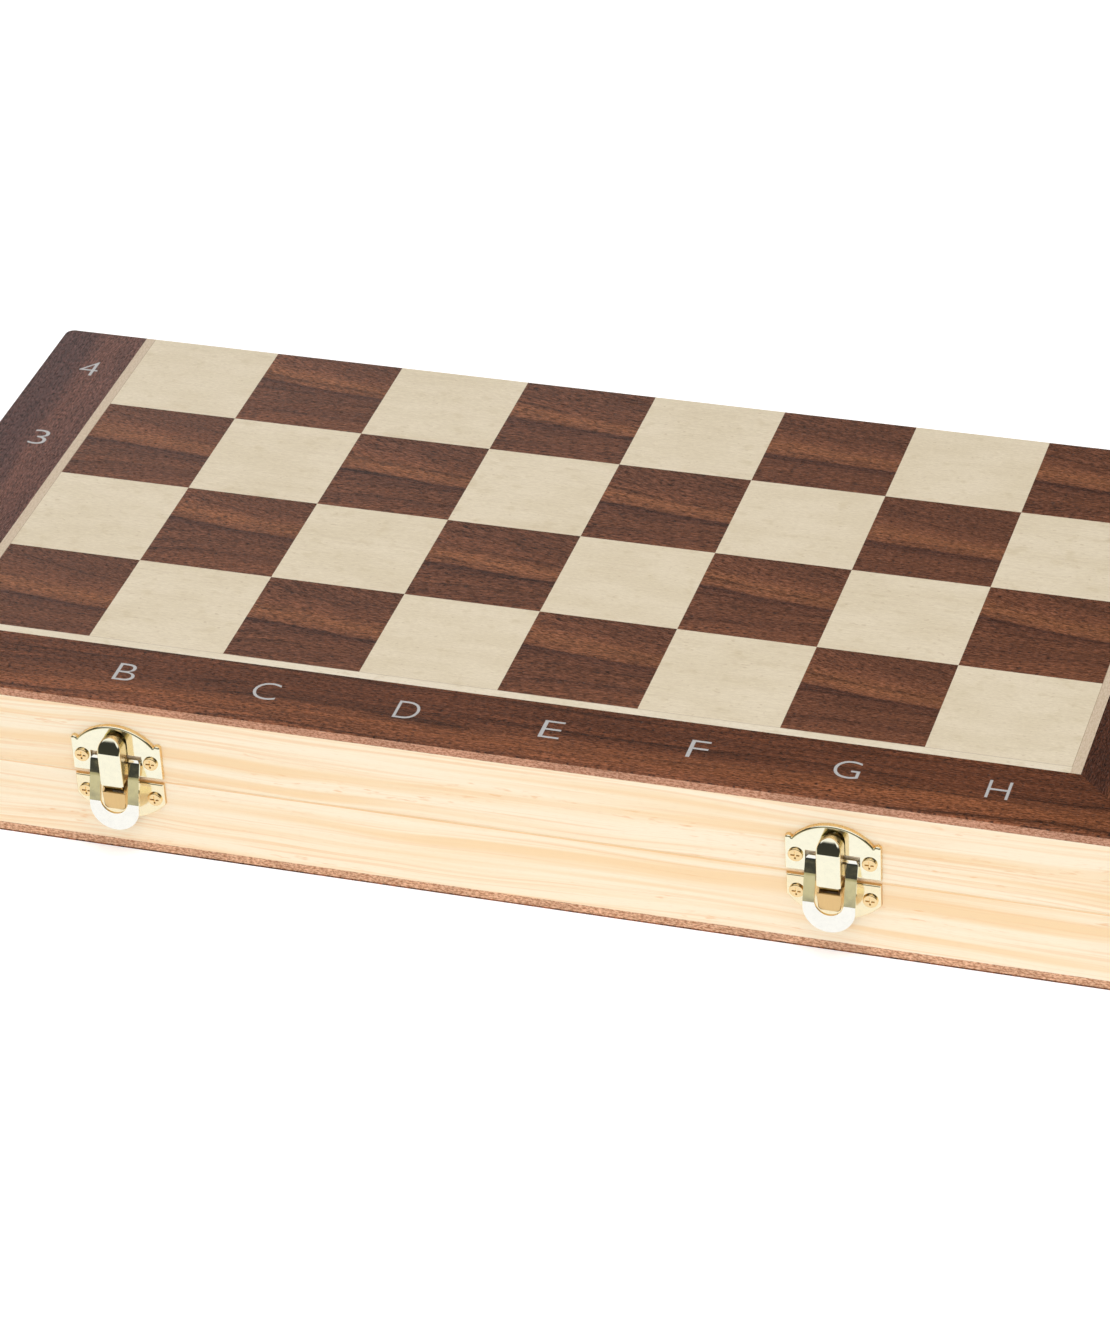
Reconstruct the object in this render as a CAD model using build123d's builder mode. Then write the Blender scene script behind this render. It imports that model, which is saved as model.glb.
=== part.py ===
from build123d import *
import math
import os

# Folding board case for chess and draughts, in millimetres.
# X runs along the files, the latches face -Y, the hinges are at +Y and +Z is up.
# The origin is the centre of the underside of the closed case.

# Playing surface
square = 40.0
files = 8
ranks_per_half = 4
stringing_width = 3.0
border_width = 26.0
fold_trim = 1.0
veneer_thickness = 0.5
corner_radius = 2.5

# Case
panel_thickness = 2.5
rail_thickness = 9.0
rail_height = 22.0
lap_depth = 4.0
steel_thickness = 0.5
steel_margin = 1.0
lining_thickness = 1.0
divider_thickness = 4.0
divider_height = 18.0
groove_depth = 1.5
divider_fit = 0.1

# Hinges
hinge_spacing = 220.0
hinge_length = 30.0
hinge_knuckle_length = 8.0
hinge_knuckle_gap = 0.3
hinge_knuckle_radius = 1.7
hinge_pin_radius = 0.8
hinge_pin_head_radius = 1.2
hinge_pin_head_length = 0.5
hinge_leaf_depth = 7.5
hinge_leaf_thickness = 1.0
hinge_screw_spacing = 18.0
hinge_screw_inset = 4.6
hinge_screw_radius = 0.8
hinge_screw_head_radius = 1.6
hinge_screw_head_height = 0.7
hinge_screw_length = 7.0

# Latches, with h the height in front of the case and z the height above the seam
latch_spacing = 204.0
sheet = 0.6
plate_depth = 1.5
plate_half_width = 13.2
plate_bottom = 1.3
plate_ear_top = 11.8
plate_lobe_rise = 0.6
slot_rise = 1.1
plate_arch_half_width = 11.2
plate_arch_top = 17.2
keeper_depth = 1.1
keeper_half_width = 13.1
keeper_top = -0.5
keeper_side_bottom = -7.2
keeper_bottom = -13.4
catch_wall = 0.5
catch_half_width = 3.6
catch_low_half_width = 3.1
catch_height = 5.8
catch_bridge_reach = 3.9
catch_lip = -2.0
catch_bottom = -7.5
catch_corner_radius = 1.2
catch_edge_radius = 0.35
tongue_half_width = 3.4
tongue_height = 6.7
tongue_top = 15.4
tongue_bottom = 0.9
tongue_flat_top = 11.4
tongue_crown_drop = 2.6
tongue_crown_bulge = 0.25
tongue_edge_radius = 0.75
tongue_wall_back = 1.95
tongue_wall_top_back = 2.7
foot_sheet = 0.5
foot_bend = 4.7
foot_reach = 2.7
foot_z = -1.55
foot_half_width = 2.6
ear_gap = 0.4
ear_bottom = 3.4
ear_wall = 0.4
lever_pivot_height = 1.2
lever_pivot_z = 6.5
lever_eye_radius = 0.85
lever_sheet = 0.7
lever_half_width = 7.25
lever_window_half_width = 4.05
lever_tab_bottom = -13.7
lever_window_bottom = -8.5
lever_shoulder_h = 2.15
lever_middle_h = 4.1
lever_middle_z = 1.7
lever_crease_h = 5.95
lever_crease_z = -5.2
lever_tip_h = 6.55
lever_shoulder_radius = 1.3
lever_bow_radius = 25.0
lever_crease_radius = 1.2
lever_corner_radius = 1.2
lever_pin_inset = 0.4
hook_pivot_height = 3.0
hook_pivot_z = 12.1
pin_radius = 0.45
latch_screw_x = 10.15
plate_screw_z = 6.6
keeper_screw_z = -5.6
latch_screw_head_radius = 2.1
latch_screw_head_height = 0.65
latch_screw_radius = 1.0
latch_screw_length = 7.0
recess_arm = 1.25
recess_width = 0.5
recess_depth = 0.4

# Clearances
running_clearance = 0.05
screw_clearance = 0.03
swing_clearance = 0.3
seam_break = 0.3
mortise_clearance = 0.1

# Derived places
board_width = files * square + 2 * (stringing_width + border_width)
half_depth = ranks_per_half * square + stringing_width + border_width - fold_trim
front_y = -half_depth / 2
back_y = half_depth / 2
squares_front_y = front_y + border_width + stringing_width
squares_left_x = -files * square / 2
stringing_x = files * square / 2 + stringing_width
stringing_y = squares_front_y - stringing_width
panel_z = veneer_thickness
rail_z = panel_z + panel_thickness
seam_z = rail_z + rail_height
steel_z = rail_z
lining_z = steel_z + steel_thickness
divider_z = lining_z + lining_thickness
hook_pin_reach = tongue_half_width - sheet / 2
inner_width = board_width - 2 * rail_thickness
inner_depth = half_depth - 2 * rail_thickness
seam_plane = Plane.XY.offset(seam_z)
hinge_axis_plane = Plane(origin=(0, back_y, seam_z), x_dir=(0, 1, 0), z_dir=(1, 0, 0))
hinge_places = {"left": -hinge_spacing / 2, "right": hinge_spacing / 2}
latch_places = {"left": -latch_spacing / 2, "right": latch_spacing / 2}

os.makedirs("parts", exist_ok=True)


def save(piece, name):
    """Label a finished piece and write it under its node name."""
    piece.part.label = name
    export_step(piece.part, f"parts/{name}.step")


def front_plane(x, h):
    """A plane on the front of the case at height h, local x to the right and local y up from the seam."""
    return Plane(origin=(x, front_y - h, seam_z), x_dir=(1, 0, 0), z_dir=(0, -1, 0))


def side_plane(x):
    """A plane across the latch, local x outward from the case and local y up from the seam."""
    return Plane(origin=(x, front_y, seam_z), x_dir=(0, -1, 0), z_dir=(-1, 0, 0))


def half_outline():
    """The plan of one half, with its rounded case corners."""
    RectangleRounded(board_width, half_depth, corner_radius)


# Veneers of one playing face


def is_dark(file, row, upper):
    """Whether a square is dark: A1 is dark, and the colours carry on across the fold."""
    rank = row if upper else 2 * ranks_per_half - 1 - row
    return (file + rank) % 2 == 0


def make_squares(dark, upper):
    """All the squares of one colour on one half."""
    with BuildPart() as squares:
        with BuildSketch(Plane.XY):
            for file in range(files):
                for row in range(ranks_per_half):
                    if is_dark(file, row, upper) != dark:
                        continue
                    low_y = squares_front_y + row * square
                    depth = min(square, back_y - low_y)
                    with Locations((squares_left_x + file * square, low_y)):
                        Rectangle(square, depth, align=(Align.MIN, Align.MIN))
        extrude(amount=veneer_thickness)
        if upper:
            mirror(about=seam_plane, mode=Mode.REPLACE)
    return squares


def strip_outline(outer_x, outer_y, inner_x, inner_y, side):
    """The plan of one mitred strip: the front one (side 0), the left one (-1) or the right one (1)."""
    if side == 0:
        points = [(-outer_x, outer_y), (outer_x, outer_y), (inner_x, inner_y), (-inner_x, inner_y)]
    else:
        outer = side * outer_x
        inner = side * inner_x
        points = [(outer, outer_y), (inner, inner_y), (inner, back_y), (outer, back_y)]
    Polygon(*points, align=None)


def make_stringing(upper):
    """The three light strips between the squares and the border."""
    with BuildPart() as stringing:
        for side in (-1, 0, 1):
            with BuildSketch(Plane.XY):
                strip_outline(stringing_x, stringing_y, -squares_left_x, squares_front_y, side)
        extrude(amount=veneer_thickness)
        if upper:
            mirror(about=seam_plane, mode=Mode.REPLACE)
    return stringing


def make_border(side, upper):
    """One dark border strip, mitred at the front corners."""
    with BuildPart() as border:
        with BuildSketch(Plane.XY):
            strip_outline(board_width / 2, front_y, stringing_x, stringing_y, side)
            RectangleRounded(board_width, half_depth, corner_radius, mode=Mode.INTERSECT)
        extrude(amount=veneer_thickness)
        if upper:
            mirror(about=seam_plane, mode=Mode.REPLACE)
    return border


# Panel, steel sheet and lining


def make_panel(upper):
    """The fibreboard panel that carries the veneers."""
    with BuildPart() as panel:
        with BuildSketch(Plane.XY.offset(panel_z)):
            half_outline()
        extrude(amount=panel_thickness)
        if upper:
            mirror(about=seam_plane, mode=Mode.REPLACE)
    return panel


def make_steel_sheet(upper):
    """The steel sheet that the magnetic men hold to."""
    with BuildPart() as steel:
        with BuildSketch(Plane.XY.offset(steel_z)):
            Rectangle(inner_width - 2 * steel_margin, inner_depth - 2 * steel_margin)
        extrude(amount=steel_thickness)
        if upper:
            mirror(about=seam_plane, mode=Mode.REPLACE)
    return steel


def make_lining(upper):
    """The felt on the floor of the tray."""
    with BuildPart() as lining:
        with BuildSketch(Plane.XY.offset(lining_z)):
            Rectangle(inner_width, inner_depth)
        extrude(amount=lining_thickness)
        if upper:
            mirror(about=seam_plane, mode=Mode.REPLACE)
    return lining


# Rails


def divider_groove(along_x, inner_length):
    """The space of a divider and its two housings in the rails, open to the seam."""
    width = divider_thickness + 2 * divider_fit
    reach = inner_length + 2 * (groove_depth + divider_fit)
    with BuildPart() as groove:
        with BuildSketch(Plane.XY.offset(divider_z)):
            Rectangle(*((reach, width) if along_x else (width, reach)))
        extrude(amount=seam_z - divider_z)
    return groove.part


def latch_pilot_holes(screw_z):
    """Pilot holes for the latch screws, two at each latch."""
    with BuildPart() as holes:
        for x in latch_places.values():
            with BuildSketch(front_plane(x, 0)):
                with Locations((-latch_screw_x, screw_z), (latch_screw_x, screw_z)):
                    Circle(latch_screw_radius + screw_clearance)
            extrude(amount=-latch_screw_length)
    return holes.part


def hinge_seats():
    """Mortises, knuckle rebates and pilot holes for the hinges."""
    leaf_width = hinge_length + 2 * mortise_clearance
    leaf_reach = hinge_leaf_depth + mortise_clearance
    rebate_length = hinge_length + 2 * (hinge_pin_head_length + swing_clearance)
    with BuildPart() as seats:
        for x in hinge_places.values():
            with BuildSketch(seam_plane):
                with Locations((x, back_y)):
                    Rectangle(leaf_width, leaf_reach, align=(Align.CENTER, Align.MAX))
            extrude(amount=-hinge_leaf_thickness)
            with BuildSketch(hinge_axis_plane.offset(x - rebate_length / 2)):
                Circle(hinge_knuckle_radius + swing_clearance)
            extrude(amount=rebate_length)
            with BuildSketch(seam_plane):
                with Locations((x, back_y - hinge_screw_inset)):
                    with GridLocations(hinge_screw_spacing, 1, 2, 1):
                        Circle(hinge_screw_radius + screw_clearance)
            extrude(amount=-hinge_screw_length - hinge_leaf_thickness)
    return seats.part


def case_form():
    """The outer form of one half's rails, its edge broken where the halves meet."""
    with BuildPart() as form:
        with BuildSketch(Plane.XY.offset(rail_z)):
            half_outline()
        extrude(amount=rail_height - seam_break)
        with BuildSketch(Plane.XY.offset(seam_z - seam_break)):
            half_outline()
        extrude(amount=seam_break, taper=45)
    return form.part


def make_cross_rail(front, upper):
    """The front or back rail, as long as the case, stepped at its ends to take the side rails."""
    direction = 1 if front else -1
    outer_y = front_y if front else back_y
    inner_y = outer_y + direction * rail_thickness
    with BuildPart() as rail:
        with BuildSketch(Plane.XY.offset(rail_z)):
            with Locations((0, (outer_y + inner_y) / 2)):
                Rectangle(board_width, rail_thickness)
            for side in (-1, 1):
                with Locations((side * board_width / 2, inner_y)):
                    Rectangle(2 * rail_thickness, 2 * lap_depth, mode=Mode.SUBTRACT)
        extrude(amount=rail_height)
        add(case_form(), mode=Mode.INTERSECT)
        add(divider_groove(False, inner_depth), mode=Mode.SUBTRACT)
        if front:
            add(latch_pilot_holes(-plate_screw_z if upper else keeper_screw_z), mode=Mode.SUBTRACT)
        else:
            add(hinge_seats(), mode=Mode.SUBTRACT)
        if upper:
            mirror(about=seam_plane, mode=Mode.REPLACE)
    return rail


def make_side_rail(side, upper):
    """The left (-1) or right (1) rail, its ends in the steps of the front and back rails."""
    length = half_depth - 2 * (rail_thickness - lap_depth)
    with BuildPart() as rail:
        with BuildSketch(Plane.XY.offset(rail_z)):
            with Locations((side * (board_width - rail_thickness) / 2, 0)):
                Rectangle(rail_thickness, length)
        extrude(amount=rail_height)
        add(case_form(), mode=Mode.INTERSECT)
        add(divider_groove(True, inner_width), mode=Mode.SUBTRACT)
        if upper:
            mirror(about=seam_plane, mode=Mode.REPLACE)
    return rail


# Dividers


def make_divider(along_x, upper):
    """A strip across the tray, half-lapped where the two strips cross."""
    span = (inner_width if along_x else inner_depth) + 2 * groove_depth
    lap_width = divider_thickness + 2 * divider_fit
    lap_low = divider_height / 2 if along_x else 0
    size = (span, divider_thickness) if along_x else (divider_thickness, span)
    with BuildPart() as divider:
        with BuildSketch(Plane.XY.offset(divider_z)):
            Rectangle(*size)
        extrude(amount=divider_height)
        with BuildSketch(Plane.XY.offset(divider_z + lap_low)):
            Rectangle(lap_width, lap_width)
        extrude(amount=divider_height / 2, mode=Mode.SUBTRACT)
        if upper:
            mirror(about=seam_plane, mode=Mode.REPLACE)
    return divider


# Hinges


def make_hinge_leaf(x, upper):
    """A leaf with its knuckles: two outer ones on the lower leaf, the middle one on the upper leaf."""
    middle_length = hinge_length - 2 * (hinge_knuckle_length + hinge_knuckle_gap)
    outer_offset = (hinge_length - hinge_knuckle_length) / 2
    outer = [(-outer_offset, hinge_knuckle_length), (outer_offset, hinge_knuckle_length)]
    middle = [(0, middle_length)]
    own, other = (middle, outer) if upper else (outer, middle)
    with BuildPart() as leaf:
        with BuildSketch(seam_plane):
            with Locations((x, back_y)):
                Rectangle(hinge_length, hinge_leaf_depth, align=(Align.CENTER, Align.MAX))
        extrude(amount=-hinge_leaf_thickness)
        for offset_x, length in other:
            notch = length + 2 * hinge_knuckle_gap
            with BuildSketch(hinge_axis_plane.offset(x + offset_x - notch / 2)):
                Circle(hinge_knuckle_radius + swing_clearance)
            extrude(amount=notch, mode=Mode.SUBTRACT)
        for offset_x, length in own:
            with BuildSketch(hinge_axis_plane.offset(x + offset_x - length / 2)):
                Circle(hinge_knuckle_radius)
            extrude(amount=length)
        with BuildSketch(hinge_axis_plane.offset(x - hinge_length / 2)):
            Circle(hinge_pin_radius + running_clearance)
        extrude(amount=hinge_length, mode=Mode.SUBTRACT)
        with Locations(seam_plane):
            with Locations((x, back_y - hinge_screw_inset)):
                with GridLocations(hinge_screw_spacing, 1, 2, 1):
                    CounterSinkHole(
                        radius=hinge_screw_radius + screw_clearance,
                        counter_sink_radius=hinge_screw_head_radius + screw_clearance,
                        depth=2 * hinge_leaf_thickness,
                        counter_sink_angle=90,
                    )
        if upper:
            mirror(about=seam_plane, mode=Mode.REPLACE)
    return leaf


def make_hinge_pin(x):
    """The pin through the knuckles, with a flat head at each end."""
    total = hinge_length + 2 * hinge_pin_head_length
    with BuildPart() as pin:
        with BuildSketch(hinge_axis_plane.offset(x - total / 2)):
            Circle(hinge_pin_radius)
        extrude(amount=total)
        for start in (x - total / 2, x + hinge_length / 2):
            with BuildSketch(hinge_axis_plane.offset(start)):
                Circle(hinge_pin_head_radius)
            extrude(amount=hinge_pin_head_length)
    return pin


def make_hinge_screws(upper):
    """The countersunk screws of both hinges, driven into one rail."""
    hung = (Align.CENTER, Align.CENTER, Align.MAX)
    with BuildPart() as screws:
        for x in hinge_places.values():
            with Locations(seam_plane):
                with Locations((x, back_y - hinge_screw_inset)):
                    with GridLocations(hinge_screw_spacing, 1, 2, 1):
                        Cylinder(hinge_screw_radius, hinge_screw_length, align=hung)
                        Cone(
                            hinge_screw_head_radius - hinge_screw_head_height,
                            hinge_screw_head_radius,
                            hinge_screw_head_height,
                            align=hung,
                        )
        if upper:
            mirror(about=seam_plane, mode=Mode.REPLACE)
    return screws


# Latch plate and keeper


def plate_outline(inset):
    """The arched outline of the upper plate with its two lobes, drawn in by inset."""
    low = plate_bottom + inset
    side = plate_half_width - inset
    ear = plate_ear_top - inset
    arch = plate_arch_half_width - inset
    top = plate_arch_top - inset
    lobe_x = (arch + side) / 2
    lobe = ear + plate_lobe_rise
    with BuildSketch() as outline:
        with BuildLine():
            Polyline((-side, ear), (-side, low), (side, low), (side, ear))
            ThreePointArc((side, ear), (lobe_x, lobe), (arch, ear))
            ThreePointArc((arch, ear), (0, top), (-arch, ear))
            ThreePointArc((-arch, ear), (-lobe_x, lobe), (-side, ear))
        make_face()
    return outline.sketch


def make_latch_plate(x):
    """The upper plate: a shallow pressed pan with a cross slot for the lever and two pivot ears."""
    ear_outer = tongue_half_width - sheet - ear_gap
    slot_low = lever_pivot_z - lever_eye_radius - swing_clearance
    slot_top = lever_pivot_z + lever_eye_radius + slot_rise
    with BuildPart() as plate:
        with BuildSketch(front_plane(x, 0)):
            add(plate_outline(0))
        extrude(amount=plate_depth)
        front = plate.faces().sort_by(Axis.Y)[0]
        fillet(front.edges(), radius=sheet)
        with BuildSketch(front_plane(x, 0)):
            add(plate_outline(sheet))
        extrude(amount=plate_depth - sheet, mode=Mode.SUBTRACT)
        with BuildSketch(front_plane(x, 0)):
            with Locations((0, (slot_low + slot_top) / 2)):
                Rectangle(2 * (lever_half_width + swing_clearance), slot_top - slot_low)
        extrude(amount=plate_depth, mode=Mode.SUBTRACT)
        for side in (-1, 1):
            with BuildSketch(side_plane(x + side * (ear_outer - sheet / 2))):
                add(ear_outline())
            extrude(amount=sheet / 2, both=True)
        with BuildSketch(side_plane(x)):
            with Locations((lever_pivot_height, lever_pivot_z), (hook_pivot_height, hook_pivot_z)):
                Circle(pin_radius + running_clearance)
        extrude(amount=ear_outer, both=True, mode=Mode.SUBTRACT)
        with BuildSketch(front_plane(x, 0)):
            with Locations((-latch_screw_x, plate_screw_z), (latch_screw_x, plate_screw_z)):
                Circle(latch_screw_radius + screw_clearance)
        extrude(amount=plate_depth, mode=Mode.SUBTRACT)
    return plate


def ear_outline():
    """The side view of a pivot ear: a low foot round the lever's pin and a tall end round the tongue's."""
    base = plate_depth - sheet
    edge = pin_radius + running_clearance + ear_wall
    low = lever_pivot_height + edge
    high = hook_pivot_height + edge
    with BuildSketch() as outline:
        with BuildLine():
            FilletPolyline(
                (base, ear_bottom),
                (low, ear_bottom),
                (low, lever_pivot_z + edge),
                (high, hook_pivot_z - edge),
                (high, hook_pivot_z + edge),
                (base, hook_pivot_z + edge),
                radius=ear_wall,
            )
            Line((base, hook_pivot_z + edge), (base, ear_bottom))
        make_face()
    return outline.sketch


def keeper_outline(inset):
    """The outline of the lower plate, square above and curved below, drawn in by inset."""
    side = keeper_half_width - inset
    top = keeper_top - inset
    corner = keeper_side_bottom
    with BuildSketch() as outline:
        with BuildLine():
            Polyline((-side, corner), (-side, top), (side, top), (side, corner))
            ThreePointArc((side, corner), (0, keeper_bottom + inset), (-side, corner))
        make_face()
    return outline.sketch


def make_catch_form(x, inset):
    """The raised catch, or with an inset its hollow: a box that narrows to two round lower corners."""
    reach = catch_height - inset
    top = keeper_top - inset
    half = catch_half_width - inset
    low_half = catch_low_half_width - inset
    low = catch_bottom + inset
    with BuildPart() as form:
        with BuildSketch(front_plane(x, 0)) as outline:
            with BuildLine():
                Polyline((-half, top), (-low_half, low), (low_half, low), (half, top), close=True)
            make_face()
            fillet(outline.vertices().group_by(Axis.Y)[0], radius=catch_corner_radius - inset)
        extrude(amount=reach)
        with BuildSketch(side_plane(x)):
            Polygon(
                (0, top), (catch_bridge_reach, top), (reach, catch_lip), (reach, low), (0, low), align=None
            )
        extrude(amount=half, both=True, mode=Mode.INTERSECT)
    return form


def make_keeper(x):
    """The lower plate: a shallow pan with a raised catch, open above where the tongue's foot enters."""
    hollow = make_catch_form(x, catch_wall)
    inner = catch_height - catch_wall
    with BuildPart() as keeper:
        with BuildSketch(front_plane(x, 0)):
            add(keeper_outline(0))
        extrude(amount=keeper_depth)
        front = keeper.faces().sort_by(Axis.Y)[0]
        fillet(front.edges(), radius=catch_wall)
        add(make_catch_form(x, 0).part)
        face = keeper.faces().sort_by(Axis.Y)[0]
        fillet(face.edges(), radius=catch_edge_radius)
        with BuildSketch(front_plane(x, 0)):
            add(keeper_outline(sheet))
        extrude(amount=keeper_depth - sheet, mode=Mode.SUBTRACT)
        add(hollow.part, mode=Mode.SUBTRACT)
        with BuildSketch(side_plane(x)):
            Polygon(
                (catch_bridge_reach, keeper_top + sheet),
                (catch_height, keeper_top + sheet),
                (catch_height, catch_lip),
                (inner, catch_lip),
                (inner, catch_lip - sheet),
                (catch_bridge_reach, catch_lip - sheet),
                align=None,
            )
        extrude(amount=foot_half_width + swing_clearance, both=True, mode=Mode.SUBTRACT)
        with BuildSketch(front_plane(x, 0)):
            with Locations((-latch_screw_x, keeper_screw_z), (latch_screw_x, keeper_screw_z)):
                Circle(latch_screw_radius + screw_clearance)
        extrude(amount=keeper_depth, mode=Mode.SUBTRACT)
    return keeper


# Lever and tongue


def make_lever(x):
    """The lever: two bowed strap arms with rolled eyes, joined below by a round finger tab."""
    shoulder_z = lever_pivot_z + lever_eye_radius - lever_sheet / 2
    tab_centre_z = lever_tab_bottom + lever_half_width
    window_centre_z = lever_window_bottom + lever_window_half_width
    top_z = lever_pivot_z + lever_eye_radius
    half = lever_half_width
    with BuildPart() as lever:
        with BuildSketch(side_plane(x)):
            with BuildLine():
                FilletPolyline(
                    (lever_pivot_height, shoulder_z),
                    (lever_shoulder_h, shoulder_z),
                    (lever_middle_h, lever_middle_z),
                    (lever_crease_h, lever_crease_z),
                    (lever_tip_h, lever_tab_bottom),
                    radius=[lever_shoulder_radius, lever_bow_radius, lever_crease_radius],
                )
            trace(line_width=lever_sheet)
            with Locations((lever_pivot_height, lever_pivot_z)):
                Circle(lever_eye_radius)
                Circle(pin_radius + running_clearance, mode=Mode.SUBTRACT)
        extrude(amount=half, both=True)
        with BuildSketch(front_plane(x, 0)) as outline:
            with BuildLine():
                Polyline((-half, tab_centre_z), (-half, top_z), (half, top_z), (half, tab_centre_z))
                ThreePointArc((half, tab_centre_z), (0, lever_tab_bottom), (-half, tab_centre_z))
            make_face()
            fillet(outline.vertices().group_by(Axis.Y)[-1], radius=lever_corner_radius)
            with BuildLine():
                Polyline(
                    (-lever_window_half_width, window_centre_z),
                    (-lever_window_half_width, top_z + lever_sheet),
                    (lever_window_half_width, top_z + lever_sheet),
                    (lever_window_half_width, window_centre_z),
                )
                ThreePointArc(
                    (lever_window_half_width, window_centre_z),
                    (0, lever_window_bottom),
                    (-lever_window_half_width, window_centre_z),
                )
            make_face(mode=Mode.SUBTRACT)
        extrude(amount=2 * lever_tip_h, mode=Mode.INTERSECT)
    return lever


def tongue_outline(inset):
    """The front outline of the tongue, square below and round above, drawn in by inset."""
    half = tongue_half_width - inset
    centre_z = tongue_top - tongue_half_width
    low = tongue_bottom + inset
    with BuildSketch() as outline:
        with BuildLine():
            Polyline((-half, centre_z), (-half, low), (half, low), (half, centre_z))
            ThreePointArc((half, centre_z), (0, centre_z + half), (-half, centre_z))
        make_face()
    return outline.sketch


def make_tongue_form(x, inset):
    """The outer form of the tongue, or with an inset its hollow: a round-topped box with a crowned end."""
    rise = tongue_top - tongue_flat_top
    chord = math.hypot(rise, tongue_crown_drop)
    crown_radius = chord * chord / (8 * tongue_crown_bulge) + tongue_crown_bulge / 2
    depth = crown_radius - tongue_crown_bulge
    centre_h = tongue_height - tongue_crown_drop / 2 - depth * rise / chord
    centre_z = tongue_flat_top + rise / 2 - depth * tongue_crown_drop / chord
    reach = tongue_height - inset
    radius = crown_radius - inset
    top = tongue_top - inset
    low_turn = math.acos((reach - centre_h) / radius)
    high_turn = math.asin((top - centre_z) / radius)
    turns = (low_turn, (low_turn + high_turn) / 2, high_turn)
    crown = [(centre_h + radius * math.cos(turn), centre_z + radius * math.sin(turn)) for turn in turns]
    with BuildPart() as form:
        with BuildSketch(front_plane(x, 0)):
            add(tongue_outline(inset))
        extrude(amount=tongue_height)
        with BuildSketch(side_plane(x)):
            with BuildLine():
                Polyline(crown[2], (0, top), (0, tongue_bottom), (reach, tongue_bottom), crown[0])
                ThreePointArc(*crown)
            make_face()
        extrude(amount=tongue_half_width, both=True, mode=Mode.INTERSECT)
    return form


def make_hook(x):
    """The tongue: a deep pressed cover, pivoted near its top, with a foot that turns in under the catch."""
    hollow = make_tongue_form(x, sheet)
    inner_face = tongue_height - sheet
    foot_h = tongue_height - sheet / 2
    with BuildPart() as hook:
        add(make_tongue_form(x, 0).part)
        rim = hook.edges().filter_by(Axis.X, reverse=True).filter_by(Axis.Y, reverse=True)
        rim = rim.filter_by_position(Axis.Y, front_y - 2 * tongue_height, front_y - tongue_wall_back)
        fillet(rim, radius=tongue_edge_radius)
        add(hollow.part, mode=Mode.SUBTRACT)
        with BuildSketch(side_plane(x)):
            Polygon(
                (0, tongue_top + sheet),
                (tongue_wall_top_back, tongue_top + sheet),
                (tongue_wall_top_back, tongue_top),
                (tongue_wall_back, hook_pivot_z),
                (tongue_wall_back, tongue_bottom + sheet),
                (inner_face, tongue_bottom + sheet),
                (inner_face, tongue_bottom),
                (0, tongue_bottom),
                align=None,
            )
        extrude(amount=tongue_half_width, both=True, mode=Mode.SUBTRACT)
        with BuildSketch(side_plane(x)):
            with BuildLine():
                FilletPolyline(
                    (foot_h, tongue_bottom + 2 * sheet),
                    (foot_h, tongue_bottom),
                    (foot_bend, foot_z),
                    (foot_reach, foot_z),
                    radius=foot_sheet,
                )
            trace(line_width=foot_sheet)
        extrude(amount=foot_half_width, both=True)
        with BuildSketch(side_plane(x)):
            with Locations((hook_pivot_height, hook_pivot_z)):
                Circle(pin_radius + running_clearance)
        extrude(amount=hook_pin_reach + running_clearance, both=True, mode=Mode.SUBTRACT)
    return hook


def make_latch_pin(x, h, z, half_length):
    """A plain pin along X."""
    with BuildPart() as pin:
        with BuildSketch(side_plane(x)):
            with Locations((h, z)):
                Circle(pin_radius)
        extrude(amount=half_length, both=True)
    return pin


def make_latch_screws(x, screw_z, seat_h):
    """Two round-head wood screws with a cross recess, their heads on the plate at height seat_h."""
    edge = latch_screw_head_height / 2
    with BuildPart() as screws:
        places = ((-latch_screw_x, screw_z), (latch_screw_x, screw_z))
        with BuildSketch(front_plane(x, seat_h)):
            with Locations(*places):
                Circle(latch_screw_head_radius)
        extrude(amount=latch_screw_head_height)
        heads = screws.faces().sort_by(Axis.Y)[:2]
        fillet(heads.edges(), radius=edge)
        with BuildSketch(front_plane(x, seat_h + latch_screw_head_height - recess_depth)):
            with Locations(*places):
                Rectangle(2 * recess_arm, recess_width)
                Rectangle(recess_width, 2 * recess_arm)
        extrude(amount=recess_depth, mode=Mode.SUBTRACT)
        with BuildSketch(front_plane(x, seat_h)):
            with Locations(*places):
                Circle(latch_screw_radius)
        extrude(amount=-latch_screw_length)
    return screws


# Both halves
for upper in (False, True):
    half = "lid" if upper else "base"
    save(make_squares(True, upper), f"{half}_dark_squares")
    save(make_squares(False, upper), f"{half}_light_squares")
    save(make_stringing(upper), f"{half}_stringing")
    save(make_border(0, upper), f"{half}_border_front")
    save(make_border(-1, upper), f"{half}_border_left")
    save(make_border(1, upper), f"{half}_border_right")
    save(make_panel(upper), f"{half}_panel")
    save(make_steel_sheet(upper), f"{half}_steel_sheet")
    save(make_lining(upper), f"{half}_lining")
    save(make_cross_rail(True, upper), f"{half}_front_rail")
    save(make_cross_rail(False, upper), f"{half}_back_rail")
    save(make_side_rail(-1, upper), f"{half}_left_rail")
    save(make_side_rail(1, upper), f"{half}_right_rail")
    save(make_divider(True, upper), f"{half}_long_divider")
    save(make_divider(False, upper), f"{half}_cross_divider")
    save(make_hinge_screws(upper), f"hinge_{half}_screws")

# Hinges
for side_name, x in hinge_places.items():
    save(make_hinge_leaf(x, False), f"{side_name}_hinge_base_leaf")
    save(make_hinge_leaf(x, True), f"{side_name}_hinge_lid_leaf")
    save(make_hinge_pin(x), f"{side_name}_hinge_pin")

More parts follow.
